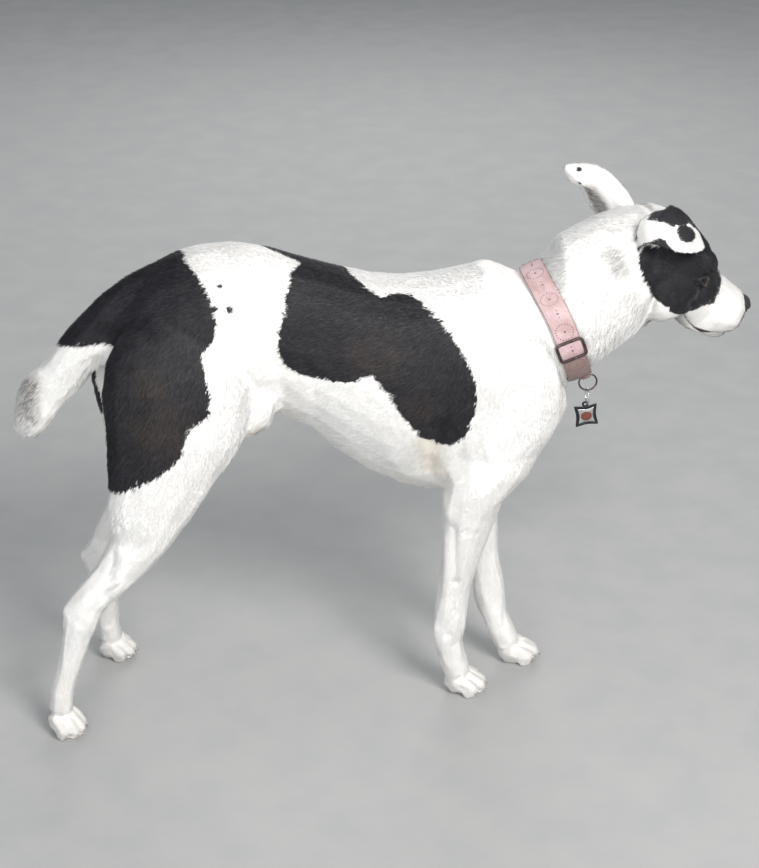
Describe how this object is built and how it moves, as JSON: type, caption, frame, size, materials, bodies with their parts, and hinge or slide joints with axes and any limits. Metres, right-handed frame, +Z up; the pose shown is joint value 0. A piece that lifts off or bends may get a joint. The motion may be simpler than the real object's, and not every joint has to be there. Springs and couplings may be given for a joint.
{
  "type": "standing dog model",
  "caption": "Life-size still model of a lean short-coated dog standing on four paws, one ear folded and one flung back, wearing a plain strap collar with a hanging tag.",
  "frame": {"origin": "on the floor, under the centre of the model's box", "axes": "+X the way the dog faces, +Y its left side, +Z up; paws stand on z = 0"},
  "size_m": [0.8808, 0.2212, 0.6495],
  "materials": {
    "white_coat": "short white coat, matte",
    "black_coat": "short black coat, soft sheen",
    "nose_leather": "black pebbled nose leather, slightly moist",
    "eye_gloss": "wet dark brown eye",
    "claw_horn": "horn, satin",
    "collar_rose": "dusty rose strap, matte",
    "dark_metal": "blackened metal",
    "ring_metal": "bright wire",
    "tag_face": "plain silver plate"
  },
  "bodies": {
    "root": {"chest": "white_coat", "claw_front_left_1": "claw_horn", "claw_front_left_2": "claw_horn", "claw_front_left_3": "claw_horn", "claw_front_left_4": "claw_horn", "claw_front_right_1": "claw_horn", "claw_front_right_2": "claw_horn", "claw_front_right_3": "claw_horn", "claw_front_right_4": "claw_horn", "claw_hind_left_1": "claw_horn", "claw_hind_left_2": "claw_horn", "claw_hind_left_3": "claw_horn", "claw_hind_left_4": "claw_horn", "claw_hind_right_1": "claw_horn", "claw_hind_right_2": "claw_horn", "claw_hind_right_3": "claw_horn", "claw_hind_right_4": "claw_horn", "collar_loop": "collar_rose", "collar_ring": "dark_metal", "collar_slide": "dark_metal", "collar_strap": "collar_rose", "ear_left": "white_coat", "ear_right": "white_coat", "eye_left": "eye_gloss", "eye_right": "eye_gloss", "forearm_left": "white_coat", "forearm_right": "white_coat", "head": "white_coat", "loin": "white_coat", "lower_jaw": "white_coat", "metatarsus_left": "white_coat", "metatarsus_right": "white_coat", "neck": "white_coat", "nose": "nose_leather", "paw_front_left": "white_coat", "paw_front_right": "white_coat", "paw_hind_left": "white_coat", "paw_hind_right": "white_coat", "rump": "white_coat", "shank_left": "white_coat", "shank_right": "white_coat", "shoulder_left": "white_coat", "shoulder_right": "white_coat", "tag": "tag_face", "tag_ring": "ring_metal", "tail": "white_coat", "thigh_left": "black_coat", "thigh_right": "black_coat"}
  },
  "joints": []
}
